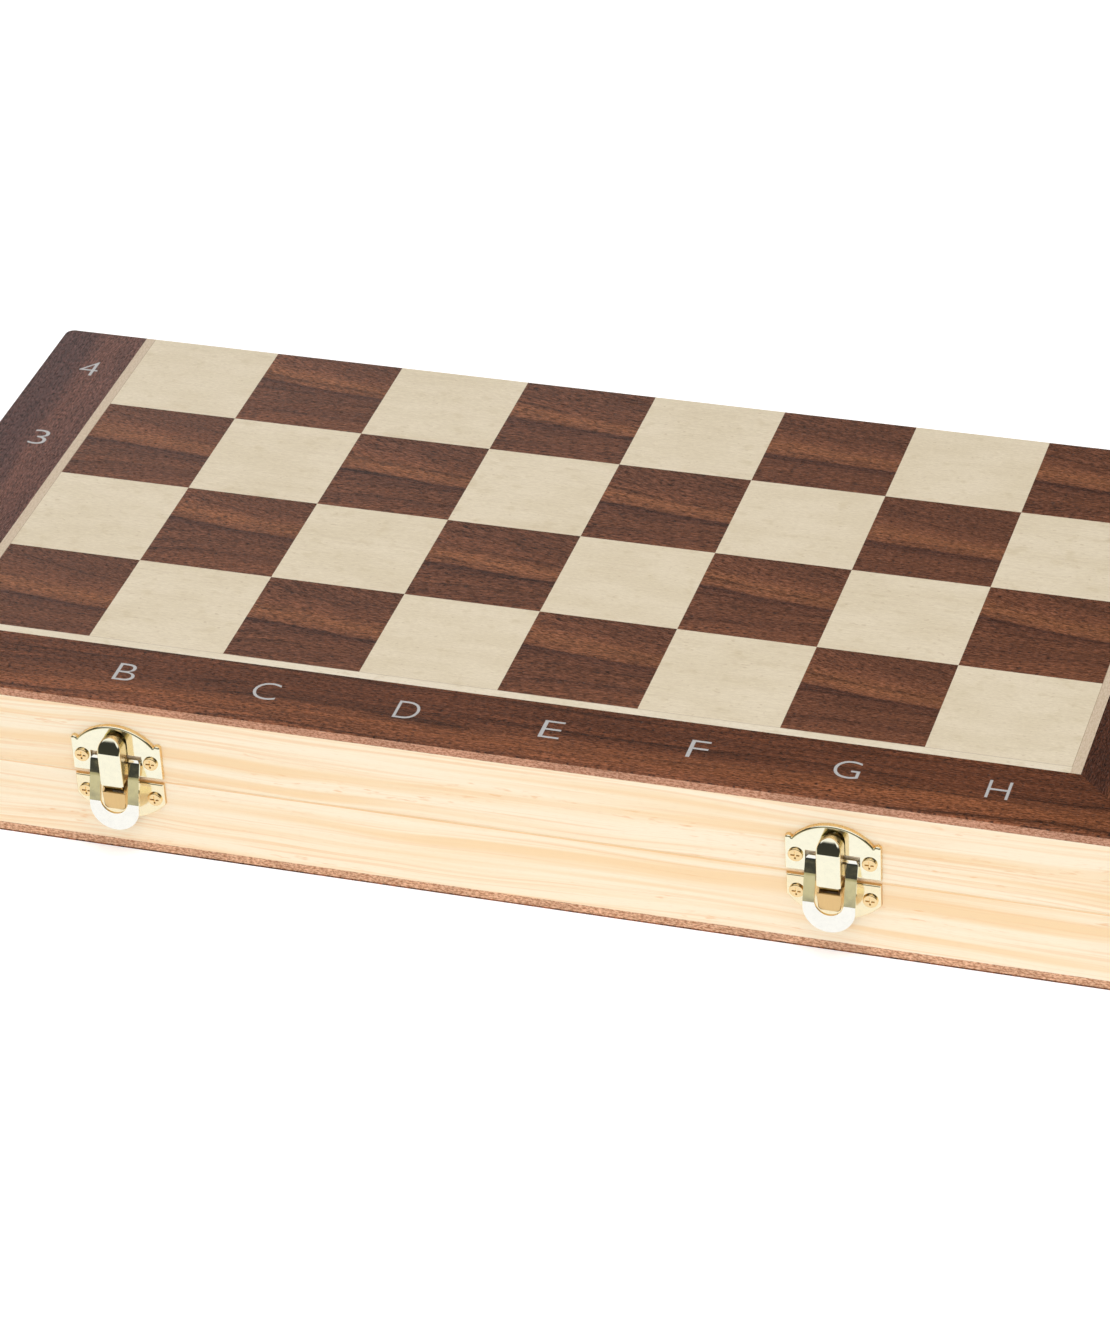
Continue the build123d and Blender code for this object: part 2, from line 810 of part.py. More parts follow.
# Latches
for side_name, x in latch_places.items():
    save(make_latch_plate(x), f"{side_name}_latch_plate")
    save(make_keeper(x), f"{side_name}_keeper")
    save(make_lever(x), f"{side_name}_lever")
    save(make_hook(x), f"{side_name}_hook")
    lever_pin = make_latch_pin(x, lever_pivot_height, lever_pivot_z, lever_half_width - lever_pin_inset)
    save(lever_pin, f"{side_name}_lever_pin")
    save(make_latch_pin(x, hook_pivot_height, hook_pivot_z, hook_pin_reach), f"{side_name}_hook_pin")
    save(make_latch_screws(x, plate_screw_z, plate_depth), f"{side_name}_plate_screws")
    save(make_latch_screws(x, keeper_screw_z, keeper_depth), f"{side_name}_keeper_screws")
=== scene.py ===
import math

import bpy
from mathutils import Matrix, Vector


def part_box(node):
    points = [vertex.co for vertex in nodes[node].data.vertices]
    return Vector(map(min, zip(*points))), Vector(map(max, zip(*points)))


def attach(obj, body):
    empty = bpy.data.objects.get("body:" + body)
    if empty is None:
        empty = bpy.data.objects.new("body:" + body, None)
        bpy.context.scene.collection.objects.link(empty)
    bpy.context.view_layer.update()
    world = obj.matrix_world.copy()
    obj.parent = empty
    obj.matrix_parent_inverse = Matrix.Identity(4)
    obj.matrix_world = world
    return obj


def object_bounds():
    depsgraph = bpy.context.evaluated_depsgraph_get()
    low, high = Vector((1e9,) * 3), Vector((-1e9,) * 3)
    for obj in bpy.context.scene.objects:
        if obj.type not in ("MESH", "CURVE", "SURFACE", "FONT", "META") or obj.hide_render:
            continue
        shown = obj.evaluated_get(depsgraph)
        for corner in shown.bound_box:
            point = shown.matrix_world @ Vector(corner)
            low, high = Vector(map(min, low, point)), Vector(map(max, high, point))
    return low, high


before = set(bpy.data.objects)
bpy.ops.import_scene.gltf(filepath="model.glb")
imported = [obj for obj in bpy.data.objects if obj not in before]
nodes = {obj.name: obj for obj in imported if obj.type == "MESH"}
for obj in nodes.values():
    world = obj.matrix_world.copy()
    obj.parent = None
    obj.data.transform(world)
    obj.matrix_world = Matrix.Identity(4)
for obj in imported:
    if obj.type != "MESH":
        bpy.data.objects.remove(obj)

# A folding board case for chess and draughts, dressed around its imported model.
# Lengths are in metres, but in millimetres inside the materials. X runs to the right and Y to the back.

MM = 0.001
cad_low, cad_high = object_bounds()

# The board's layout, which the woods and the print follow
square = 40 * MM
stringing_width = 3 * MM
border_width = 26 * MM
seam_z = 25 * MM
ranks_per_half = 4
file_names = "ABCDEFGH"
stringing_low, stringing_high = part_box("lid_stringing")
border_low, border_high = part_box("lid_border_front")
grid_left = stringing_low.x + stringing_width
grid_front = stringing_low.y + stringing_width
side_strip_x = -grid_left
board_half_length = stringing_high.x + border_width
left_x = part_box("lid_border_left")[0].x
front_y = border_low.y
top_z = border_high.z
bottom_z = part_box("base_border_front")[0].z

# The camera, solved from the corners of the squares in the photograph
camera_place = Vector((0.3704, -1.1135, 0.8073))
camera_azimuth = math.radians(18.62)
camera_elevation = math.radians(33.97)
camera_roll = math.radians(-3.19)
camera_lens = 133.57
camera_sensor_height = 36


def make_camera():
    """The camera at the photograph's place, with its small roll."""
    across = Vector((math.cos(camera_azimuth), math.sin(camera_azimuth), 0))
    back = Vector((
        math.sin(camera_azimuth) * math.cos(camera_elevation),
        -math.cos(camera_azimuth) * math.cos(camera_elevation),
        math.sin(camera_elevation),
    ))
    level_up = back.cross(across)
    right = across * math.cos(camera_roll) + level_up * math.sin(camera_roll)
    up = back.cross(right)
    data = bpy.data.cameras.new("camera")
    data.sensor_fit = "VERTICAL"
    data.sensor_height = camera_sensor_height
    data.lens = camera_lens
    data.clip_start = 0.05
    data.clip_end = 50
    camera = bpy.data.objects.new("camera", data)
    bpy.context.scene.collection.objects.link(camera)
    rotation = Matrix((right, up, back)).transposed().to_4x4()
    camera.matrix_world = Matrix.Translation(camera_place) @ rotation
    bpy.context.scene.camera = camera


# Shader building


class Shader:
    """Adds and links the nodes of one material, or of the world, so that it reads as a short recipe."""

    def __init__(self, name, world=None):
        self.owner = world or bpy.data.materials.new(name)
        self.owner.use_nodes = True
        self.tree = self.owner.node_tree
        self.tree.nodes.clear()

    def node(self, kind, inputs=(), **settings):
        made = self.tree.nodes.new("ShaderNode" + kind)
        for key, value in settings.items():
            setattr(made, key, value)
        for key, value in dict(inputs).items():
            self.feed(made.inputs[key], value)
        return made

    def feed(self, socket, value):
        if isinstance(value, bpy.types.NodeSocket):
            self.tree.links.new(value, socket)
        else:
            socket.default_value = value

    def finish(self, shader, kind="OutputMaterial"):
        """Send a shader node to the output, and give back the material or world."""
        self.node(kind, {0: shader.outputs[0]})
        return self.owner

    def math(self, operation, a, b=0.0, c=0.0):
        made = self.node("Math", operation=operation)
        for socket, value in zip(made.inputs, (a, b, c)):
            self.feed(socket, value)
        return made.outputs[0]

    def plus(self, a, b):
        return self.math("ADD", a, b)

    def minus(self, a, b):
        return self.math("SUBTRACT", a, b)

    def times(self, a, b):
        return self.math("MULTIPLY", a, b)

    def position(self):
        """X, Y and Z of the point in the object's own frame, in millimetres."""
        place = self.scaled(self.node("TexCoord").outputs["Object"], 1 / MM)
        return list(self.node("SeparateXYZ", {0: place}).outputs)

    def vector(self, x, y, z):
        return self.node("CombineXYZ", {0: x, 1: y, 2: z}).outputs[0]

    def noise(self, vector, scale=1.0, detail=2.0, roughness=0.5, distortion=0.0):
        return self.node("TexNoise", {
            "Vector": vector, "Scale": scale, "Detail": detail,
            "Roughness": roughness, "Distortion": distortion,
        }).outputs["Fac"]

    def grain(self, along, across, sheet, length, width, detail=2.0, roughness=0.5):
        """Noise drawn out along the grain, whose coarsest marks are length by width millimetres."""
        lengthwise = self.math("DIVIDE", along, length)
        crosswise = self.math("DIVIDE", across, width)
        return self.noise(self.vector(lengthwise, crosswise, sheet), 1.0, detail, roughness)

    def band(self, value, low, high, to_low=0.0, to_high=1.0):
        """A smooth step of value from low to high. With low above high, the step goes the other way."""
        return self.node("MapRange", {
            "Value": value, "From Min": low, "From Max": high, "To Min": to_low, "To Max": to_high,
        }, interpolation_type="SMOOTHSTEP").outputs[0]

    def scaled(self, vector, factor):
        """A place or a colour, multiplied by a factor."""
        return self.node("VectorMath", {0: vector, "Scale": factor}, operation="SCALE").outputs[0]

    def mix(self, amount, a, b):
        made = self.node("Mix", data_type="RGBA", blend_type="MIX", clamp_factor=True)
        self.feed(made.inputs["Factor"], amount)
        self.feed(made.inputs[6], a if isinstance(a, bpy.types.NodeSocket) else (*a, 1))
        self.feed(made.inputs[7], b if isinstance(b, bpy.types.NodeSocket) else (*b, 1))
        return made.outputs[2]

    def tinted(self, colour, value, low, high, most, tint):
        """The colour with a tint mixed in, from nothing where value is low to most where it is high."""
        return self.mix(self.band(value, low, high, 0.0, most), colour, tint)

    def ramp(self, value, stops):
        made = self.node("ValToRGB", {0: value})
        elements = made.color_ramp.elements
        while len(elements) < len(stops):
            elements.new(0.5)
        for element, (place, colour) in zip(elements, stops):
            element.position = place
            element.color = (*colour, 1)
        return made.outputs[0]

    def bump(self, height, depth, strength):
        return self.node("Bump", {"Height": height, "Distance": depth, "Strength": strength}).outputs[0]

    def surface(self, **inputs):
        """The principled surface. Underscores in the names stand for spaces."""
        named = {key.replace("_", " "): value for key, value in inputs.items()}
        return self.finish(self.node("BsdfPrincipled", named))


# Woods

# Walnut's colours across its growth, as (place, colour). A border's go from its outer edge inward.
square_growth = (
    (0.00, (0.148, 0.054, 0.026)),
    (0.14, (0.112, 0.041, 0.021)),
    (0.30, (0.128, 0.047, 0.023)),
    (0.46, (0.104, 0.038, 0.020)),
    (0.52, (0.060, 0.022, 0.013)),
    (0.55, (0.162, 0.060, 0.028)),
    (0.66, (0.205, 0.077, 0.033)),
    (0.80, (0.145, 0.053, 0.026)),
    (1.00, (0.110, 0.041, 0.021)),
)
front_growth = (
    (0.02, (0.162, 0.055, 0.024)),
    (0.18, (0.186, 0.062, 0.024)),
    (0.34, (0.146, 0.049, 0.020)),
    (0.48, (0.102, 0.033, 0.014)),
    (1.00, (0.103, 0.033, 0.014)),
)
left_growth = (
    (0.00, (0.070, 0.030, 0.025)),
    (0.40, (0.075, 0.031, 0.025)),
    (0.60, (0.125, 0.050, 0.034)),
    (1.00, (0.105, 0.043, 0.031)),
)
right_growth = (
    (0.00, (0.108, 0.040, 0.021)),
    (0.50, (0.125, 0.044, 0.020)),
    (0.62, (0.108, 0.038, 0.017)),
    (0.72, (0.062, 0.021, 0.011)),
    (1.00, (0.055, 0.019, 0.010)),
)
growth_line_spacing = 5.5

# How far the open grain reaches down, for the bump
square_relief = 0.07 * MM
border_relief = 0.11 * MM
maple_relief = 0.015 * MM
pine_relief = 0.02 * MM


def cell_coordinates(s, x, y):
    """Place inside a square from 0 to 1 each way, and the square's own file and rank numbers."""
    across = s.math("DIVIDE", s.minus(x, grid_left / MM), square / MM)
    along = s.math("DIVIDE", s.minus(y, grid_front / MM), square / MM)
    return (
        s.math("FRACT", across), s.math("FRACT", along),
        s.math("FLOOR", across), s.math("FLOOR", along),
    )


def wavy(s, along, across, sheet, length, width, sway):
    """The place across the grain, moved to and fro by up to half of sway, as the fibres bend."""
    slow = s.grain(along, across, sheet, length=length, width=width)
    return s.plus(across, s.times(s.minus(slow, 0.5), sway))


def walnut_marks(s, along, bent, sheet, figure, stretch=1.0):
    """Walnut's growth lines, streaks, hair lines and open pores.

    Gives a shade to multiply the colour by, a height for the bump, and the noise of the hair lines.
    figure is how dark the growth lines are. Each comes up slowly across the grain and ends sharply.
    stretch draws the growth lines and streaks out along the grain.
    """
    def layer(factor, shift, **look):
        return s.grain(along, bent, s.math("MULTIPLY_ADD", sheet, factor, shift), **look)

    # Growth lines, here and there
    drift = layer(1, 20.0, length=60 * stretch, width=13, detail=1, roughness=0.4)
    turns = s.math("DIVIDE", bent, growth_line_spacing)
    turn = s.math("FRACT", s.plus(turns, s.math("MULTIPLY_ADD", drift, 2.6, sheet)))
    line = s.times(s.band(turn, 0.62, 0.92), s.band(turn, 1.00, 0.94))
    strength = layer(1, 31.0, length=40 * stretch, width=7, detail=1, roughness=0.5)
    line = s.times(line, s.band(strength, 0.40, 0.62))

    # Streaks, hair lines and pores
    streaks = layer(1, 4.0, length=11 * stretch, width=1.3, detail=3, roughness=0.65)
    hairs = layer(3, 8.0, length=1.9, width=0.42, detail=2, roughness=0.75)
    specks = layer(3, 12.0, length=1.4, width=0.32, detail=0, roughness=0.5)
    pores = s.band(specks, 0.42, 0.26)

    shade = s.times(s.band(streaks, 0.32, 0.68, 0.82, 1.16), s.band(hairs, 0.33, 0.65, 0.50, 1.42))
    shade = s.times(shade, s.minus(1.05, s.times(line, figure)))
    shade = s.times(shade, s.minus(1.11, s.times(pores, 0.75)))
    height = s.minus(s.times(hairs, 0.5), pores)
    return shade, height, hairs


def satin(s, colour, height, roughness_noise, relief, roughness=(0.21, 0.29)):
    """A thin satin varnish over wood."""
    return s.surface(
        Base_Color=colour,
        Roughness=s.band(roughness_noise, 0.3, 0.7, *roughness),
        Normal=s.bump(height, relief, strength=0.6),
        Specular_IOR_Level=0.2,
    )


def walnut_squares():
    """Dark squares: slices of like veneer, with the grain running to the right and falling a little."""
    s = Shader("walnut_squares")
    x, y, z = s.position()
    u, v, file, rank = cell_coordinates(s, x, y)
    sheet = s.plus(s.times(file, 0.11), s.times(rank, 0.17))
    sheet = s.plus(sheet, s.times(z, 0.06))
    along = s.times(u, square / MM)
    fan = s.times(u, s.math("MULTIPLY_ADD", v, 14.0, -2.5))
    across = s.math("MULTIPLY_ADD", v, square / MM, fan)
    bent = wavy(s, along, across, sheet, length=45, width=18, sway=5)
    shade, height, hairs = walnut_marks(s, along, bent, sheet, figure=0.42)
    slice_number = s.vector(file, rank, s.band(z, 0.0, seam_z / MM))
    cut = s.node("TexWhiteNoise", {"Vector": slice_number}).outputs["Value"]
    place = s.plus(s.math("DIVIDE", bent, square / MM), s.math("MULTIPLY_ADD", cut, 0.36, -0.12))
    return satin(s, s.scaled(s.ramp(place, square_growth), shade), height, hairs, square_relief)


def walnut_strip(name, grain_axis, seed, edge, figure, growth):
    """A border strip with the grain along it. edge is the place of its outer edge, across the grain."""
    s = Shader(name)
    inward = 1 if edge < 0 else -1
    x, y, z = s.position()
    along, across = (x, y) if grain_axis == "x" else (y, x)
    sheet = s.plus(s.times(z, 0.06), seed)
    bent = wavy(s, along, across, sheet, length=90, width=16, sway=7)
    shade, height, hairs = walnut_marks(s, along, bent, sheet, figure, stretch=1.6)
    belts = s.grain(along, bent, seed + 51.0, length=75, width=2.4, detail=2, roughness=0.55)
    contrast = 0.34 * figure
    shade = s.times(shade, s.band(belts, 0.34, 0.66, 1 - contrast, 1 + contrast))
    inset = s.times(s.minus(bent, edge / MM), inward * MM / border_width)
    drift = s.grain(along, bent, s.plus(sheet, 2.0), length=120, width=6, detail=2, roughness=0.5)
    place = s.plus(inset, s.times(s.minus(drift, 0.5), 0.30))
    return satin(s, s.scaled(s.ramp(place, growth), shade), height, hairs, border_relief)


def maple_marks(s, colour, x, y, number):
    """Adds maple's fine lines, soft darker spots, small flecks and fibres to a colour.

    Gives the new colour and the noise of the fibres.
    """
    lines = s.grain(x, y, number, length=26, width=0.9, detail=3, roughness=0.6)
    spots = s.grain(x, y, s.plus(number, 7.0), length=4.5, width=3.0, detail=2, roughness=0.5)
    flecks = s.grain(x, y, s.plus(number, 3.0), length=1.6, width=0.8, detail=0, roughness=0.5)
    fibres = s.grain(x, y, number, length=1.6, width=0.32, detail=2, roughness=0.7)
    colour = s.tinted(colour, lines, 0.50, 0.28, 0.26, (0.57, 0.46, 0.31))
    colour = s.tinted(colour, spots, 0.56, 0.74, 0.36, (0.56, 0.455, 0.285))
    colour = s.tinted(colour, flecks, 0.76, 0.84, 0.35, (0.42, 0.30, 0.18))
    colour = s.tinted(colour, fibres, 0.52, 0.32, 0.34, (0.56, 0.46, 0.33))
    return colour, fibres


def maple_clouds(s, x, y, number, dull, bright):
    """Faint long clouds between two colours."""
    clouds = s.grain(x, y, number, length=22, width=8, detail=3, roughness=0.55)
    return s.mix(s.band(clouds, 0.35, 0.66), dull, bright)


def maple_squares():
    """Light squares: pale maple, each square cut from another place."""
    s = Shader("maple_squares")
    x, y, z = s.position()
    file, rank = cell_coordinates(s, x, y)[2:]
    number = s.plus(s.plus(s.times(z, 0.3), s.times(file, 3.7)), s.times(rank, 5.3))
    colour = maple_clouds(s, x, y, number, (0.700, 0.600, 0.432), (0.742, 0.642, 0.476))
    colour, fibres = maple_marks(s, colour, x, y, number)
    return satin(s, colour, fibres, fibres, maple_relief)


def maple_stringing():
    """The light strips: paler in front, browner at the sides, with a dark glue line by the squares."""
    s = Shader("maple_stringing")
    x, y, z = s.position()
    number = s.times(z, 0.3)
    from_middle = s.math("ABSOLUTE", x)
    front = maple_clouds(s, x, y, number, (0.735, 0.640, 0.475), (0.790, 0.700, 0.545))
    specks = s.grain(y, x, number, length=1.3, width=0.45, detail=2, roughness=0.6)
    side = s.mix(s.band(specks, 0.36, 0.62), (0.540, 0.415, 0.290), (0.640, 0.515, 0.380))
    colour = s.mix(s.band(from_middle, side_strip_x / MM, side_strip_x / MM + 0.1), front, side)
    colour, fibres = maple_marks(s, colour, x, y, number)
    beside = s.band(from_middle, side_strip_x / MM + 0.22, side_strip_x / MM + 0.10)
    ahead = s.band(y, grid_front / MM - 0.22, grid_front / MM - 0.10)
    colour = s.mix(s.times(s.times(beside, ahead), 0.6), colour, (0.25, 0.15, 0.09))
    return satin(s, colour, fibres, fibres, maple_relief)


def seam_stain(s, colour, x, y, z):
    """Painted shade: a thin darker orange line along the broken edges where the two halves meet, for the
    shade in the seam.
    """
    skin = 0.6
    seam_shade_z = seam_z / MM - 0.4
    from_end = s.minus(s.math("ABSOLUTE", x), board_half_length / MM - skin)
    from_side = s.minus(s.math("ABSOLUTE", y), -front_y / MM - skin)
    outer = s.band(s.math("MAXIMUM", from_end, from_side), 0.0, 0.3)
    near = s.band(s.math("ABSOLUTE", s.minus(z, seam_shade_z)), 0.28, 0.08)
    return s.mix(s.times(s.times(outer, near), 0.75), colour, (0.80, 0.50, 0.24))


def pine(name, grain_axis, seed):
    """Pale pine, with soft growth bands and groups of short orange flecks along the grain."""
    s = Shader(name)
    x, y, z = s.position()
    along, side = (x, y) if grain_axis == "x" else (y, x)
    level = s.math("MULTIPLY_ADD", side, 0.35, z)
    bent = wavy(s, along, level, seed, length=130, width=30, sway=10)
    bands = s.grain(along, bent, seed + 3.1, length=240, width=4.2, detail=3, roughness=0.55)
    lines = s.grain(along, bent, seed + 8.7, length=90, width=0.9, detail=2, roughness=0.5)
    fibres = s.grain(along, bent, seed, length=3.0, width=0.34, detail=2, roughness=0.6)
    dashes = s.grain(along, bent, seed + 5.5, length=4.2, width=0.75, detail=1, roughness=0.5)
    groups = s.grain(along, bent, seed + 1.7, length=45, width=5.0, detail=1, roughness=0.5)
    colour = s.mix(s.band(bands, 0.40, 0.68), (0.895, 0.775, 0.590), (0.860, 0.635, 0.380))
    colour = s.tinted(colour, lines, 0.50, 0.72, 0.60, (0.840, 0.560, 0.310))
    colour = s.tinted(colour, fibres, 0.48, 0.28, 0.24, (0.76, 0.57, 0.36))
    flecked = s.times(s.band(dashes, 0.58, 0.78), s.band(groups, 0.54, 0.70))
    colour = s.mix(s.times(flecked, 0.62), colour, (0.800, 0.450, 0.200))
    # Painted shade along the seam between the two halves
    colour = seam_stain(s, colour, x, y, z)
    return satin(s, colour, fibres, fibres, pine_relief, roughness=(0.40, 0.52))


def fibreboard(name, dark, light):
    """Pressed reddish-brown fibreboard, speckled with pale and dark fibres."""
    s = Shader(name)
    x, y, z = s.position()
    chips = s.grain(x, z, y, length=1.1, width=0.55, detail=2, roughness=0.6)
    dust = s.grain(x, z, y, length=0.42, width=0.30, detail=1, roughness=0.5)
    drift = s.grain(x, z, y, length=14, width=9, detail=2, roughness=0.5)
    colour = s.mix(s.band(chips, 0.34, 0.66), dark, light)
    colour = s.scaled(colour, s.band(drift, 0.3, 0.7, 0.90, 1.10))
    colour = s.tinted(colour, dust, 0.58, 0.74, 0.55, (0.70, 0.46, 0.32))
    colour = s.tinted(colour, dust, 0.38, 0.26, 0.50, (0.20, 0.085, 0.050))
    bump = s.bump(chips, 0.08 * MM, strength=0.7)
    return s.surface(Base_Color=colour, Roughness=0.75, Normal=bump, Specular_IOR_Level=0.3)


# Metals, felt and print

pale_gold = (0.985, 0.945, 0.740)
# Rich and dark gold are painted reflection: deeper golds for the warm pine and shaded floor that walls
# and raised faces mirror
rich_reflected_gold = (0.96, 0.74, 0.40)
dark_reflected_gold = (0.88, 0.60, 0.28)


def polished_brass(name, colour, roughness, reflected_wall_gold=None, raised=None):
    """Bright plated brass, with the faint unevenness of pressed sheet and a few dull smears.

    reflected_wall_gold is the deeper gold of the walls of a pressed part, which were drawn in the press:
    they are duller and lined from that, and deeper in colour as painted reflection of the warm pine and
    shaded floor. raised is the height over the rails, in millimetres, past which a face gets it too.
    """
    s = Shader(name)
    x, y, z = s.position()
    place = s.vector(x, y, z)
    waves = s.noise(place, scale=0.30, detail=1, roughness=0.5)
    specks = s.noise(place, scale=4.0, detail=2, roughness=0.6)
    smear = s.noise(place, scale=0.6, detail=3, roughness=0.6)
    tint = s.mix(s.band(smear, 0.35, 0.70), colour, tuple(channel * 0.97 for channel in colour))
    gloss = s.band(smear, 0.3, 0.75, roughness, roughness + 0.05)
    height = s.math("MULTIPLY_ADD", specks, 0.04, waves)
    # Painted reflection: walls and raised faces get the deeper gold for the warm pine and shaded floor
    # they mirror. They are also duller and lined from the press
    if reflected_wall_gold:
        facing = s.node("SeparateXYZ", {0: s.node("TexCoord").outputs["Normal"]}).outputs[1]
        drawn = s.band(s.math("ABSOLUTE", facing), 0.60, 0.30)
        if raised is not None:
            raised_y = front_y / MM - raised
            drawn = s.math("MAXIMUM", drawn, s.band(y, raised_y, raised_y - 0.3))
        lines = s.grain(z, x, y, length=3.0, width=0.22)
        reflected_wall_colour = s.mix(lines, tuple(channel * 0.88 for channel in reflected_wall_gold), reflected_wall_gold)
        tint = s.mix(drawn, tint, reflected_wall_colour)
        gloss = s.math("MULTIPLY_ADD", drawn, 0.20, gloss)
        height = s.math("MULTIPLY_ADD", s.times(lines, drawn), 0.12, height)
    bump = s.bump(height, 0.04 * MM, strength=0.5)
    return s.surface(Base_Color=tint, Metallic=1.0, Roughness=gloss, Normal=bump)


def steel():
    """Mill-finished sheet steel."""
    s = Shader("steel_sheet")
    x, y, z = s.position()
    rolled = s.grain(x, y, z, length=20, width=0.25)
    colour = s.mix(rolled, (0.52, 0.52, 0.53), (0.64, 0.64, 0.66))
    return s.surface(Base_Color=colour, Metallic=1.0, Roughness=s.band(rolled, 0.3, 0.7, 0.3, 0.45))


def felt():
    """Dark green felt, its short fibres lying every way."""
    s = Shader("felt")
    place = s.vector(*s.position())
    fibres = s.noise(place, scale=3.0, detail=4, roughness=0.75, distortion=0.8)
    clouds = s.noise(place, scale=0.08, detail=3, roughness=0.6)
    colour = s.mix(s.band(fibres, 0.3, 0.7), (0.010, 0.055, 0.026), (0.030, 0.120, 0.060))
    colour = s.tinted(colour, clouds, 0.4, 0.7, 0.3, (0.035, 0.130, 0.070))
    return s.surface(
        Base_Color=colour,
        Roughness=0.95,
        Normal=s.bump(fibres, 0.25 * MM, strength=0.9),
        Specular_IOR_Level=0.1,
        Sheen_Weight=0.5,
        Sheen_Roughness=0.45,
    )


def print_ink():
    """Silver-grey screen print, slightly uneven."""
    s = Shader("silver_print")
    grain = s.noise(s.vector(*s.position()), scale=5.0, detail=2, roughness=0.6)
    colour = s.mix(s.band(grain, 0.3, 0.7), (0.455, 0.445, 0.430), (0.580, 0.565, 0.550))
    return s.surface(Base_Color=colour, Metallic=0.2, Roughness=s.band(grain, 0.3, 0.7, 0.35, 0.48))


def dress():
    """Give every CAD node the material of the longest ending that its name has."""
    drawn_and_reflected_height = 1.9  # faces that stand further over the rails than this were drawn in the press, and get the deeper gold of painted reflection
    endings = {
        "dark_squares": walnut_squares(),
        "light_squares": maple_squares(),
        "stringing": maple_stringing(),
        "border_front": walnut_strip("walnut_front", "x", 1.0, front_y, figure=0.55, growth=front_growth),
        "border_left": walnut_strip("walnut_left", "y", 2.0, left_x, figure=0.15, growth=left_growth),
        "border_right": walnut_strip("walnut_right", "y", 3.0, -left_x, figure=0.35, growth=right_growth),
        "base_panel": fibreboard("base_fibreboard", (0.37, 0.165, 0.080), (0.78, 0.480, 0.310)),
        "lid_panel": fibreboard("lid_fibreboard", (0.30, 0.125, 0.064), (0.58, 0.310, 0.200)),
        "steel_sheet": steel(),
        "lining": felt(),
        "long_divider": pine("pine_long_divider", "x", 31.0),
        "cross_divider": pine("pine_cross_divider", "y", 47.0),
        "leaf": polished_brass("hinge_brass", (0.960, 0.800, 0.500), 0.32),
        "lever": polished_brass("lever_brass", (0.985, 0.970, 0.900), 0.05),
        "latch_plate": polished_brass("plate_brass", pale_gold, 0.06, rich_reflected_gold, drawn_and_reflected_height),
        "hook": polished_brass("tongue_brass", pale_gold, 0.06, rich_reflected_gold),
        # The keeper's warmer gold is painted reflection of the pine and the shaded floor in front of it
        "keeper": polished_brass("keeper_brass", (0.985, 0.865, 0.590), 0.10, dark_reflected_gold, drawn_and_reflected_height),
        "screws": polished_brass("screw_brass", (0.970, 0.725, 0.390), 0.14),
        "pin": polished_brass("pin_brass", (0.920, 0.800, 0.500), 0.16),
    }
    rails = {"front": ("x", 11.0), "back": ("x", 17.0), "left": ("y", 23.0), "right": ("y", 29.0)}
    for half, shift in (("base", 0.0), ("lid", 60.0)):
        for side, (grain_axis, seed) in rails.items():
            endings[f"{half}_{side}_rail"] = pine(f"{half}_{side}_pine", grain_axis, seed + shift)
    for name, node in nodes.items():
        ending = max((ending for ending in endings if name.endswith(ending)), key=len)
        node.data.materials.clear()
        node.data.materials.append(endings[ending])


# Printed coordinates

letter_height = 8.0 * MM
capital_share = 0.729  # height of a capital in the tool's type face, as a share of its size
letter_thinning = 0.15 * MM
common_width = 1.13  # width of a character, as a share of the type face's own
letter_widths = {
    "C": 1.04, "D": 0.92, "E": 1.30, "F": 1.30,
    "G": 1.03, "H": 0.92, "1": 1.00, "3": 1.35,
}
letter_pitch = 41.1 * MM
letter_shift = -0.38 * MM
letter_y = -79.8 * MM
digit_pitch = 41.0 * MM
digit_x = 173.9 * MM
digit_top_y = 73.2 * MM
ink_thickness = 0.02 * MM


def make_label(name, text, x, y, body, ink):
    """One printed character on a border. On the base it faces down, and is read from below."""
    curve = bpy.data.curves.new(name + "_outline", "FONT")
    curve.body = text
    curve.align_x = "CENTER"
    curve.align_y = "CENTER"
    curve.size = letter_height / capital_share
    curve.offset = -letter_thinning
    curve.resolution_u = 6
    holder = bpy.data.objects.new(name + "_outline", curve)
    bpy.context.scene.collection.objects.link(holder)
    bpy.context.view_layer.update()
    shaped = holder.evaluated_get(bpy.context.evaluated_depsgraph_get())
    mesh = bpy.data.meshes.new_from_object(shaped)
    bpy.data.objects.remove(holder)
    low = [min(v.co[i] for v in mesh.vertices) for i in range(2)]
    high = [max(v.co[i] for v in mesh.vertices) for i in range(2)]
    centre = Vector(((low[0] + high[0]) / 2, (low[1] + high[1]) / 2, 0))
    scale = letter_height / (high[1] - low[1])
    width = letter_widths.get(text, common_width)
    outward, face_z = (1, top_z) if body == "lid" else (-1, bottom_z)
    ink_z = face_z + outward * ink_thickness
    for vertex in mesh.vertices:
        place = (vertex.co - centre) * scale
        vertex.co = Vector((x + outward * place.x * width, y + place.y, ink_z))
    mesh.materials.clear()
    mesh.materials.append(ink)
    mesh.name = name
    piece = bpy.data.objects.new(name, mesh)
    bpy.context.scene.collection.objects.link(piece)
    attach(piece, body)


def make_labels():
    """Letters along the front borders and numbers along the side borders of both playing faces."""
    ink = print_ink()
    for body in ("lid", "base"):
        for number, letter in enumerate(file_names):
            x = (number - (len(file_names) - 1) / 2) * letter_pitch + letter_shift
            make_label(f"{body}_letter_{letter}", letter, x, letter_y, body, ink)
        for step in range(ranks_per_half):
            y = digit_top_y - step * digit_pitch
            rank = ranks_per_half - step if body == "lid" else ranks_per_half + 1 + step
            for side, x in (("left", -digit_x), ("right", digit_x)):
                make_label(f"{body}_{side}_number_{rank}", str(rank), x, y, body, ink)


# Studio

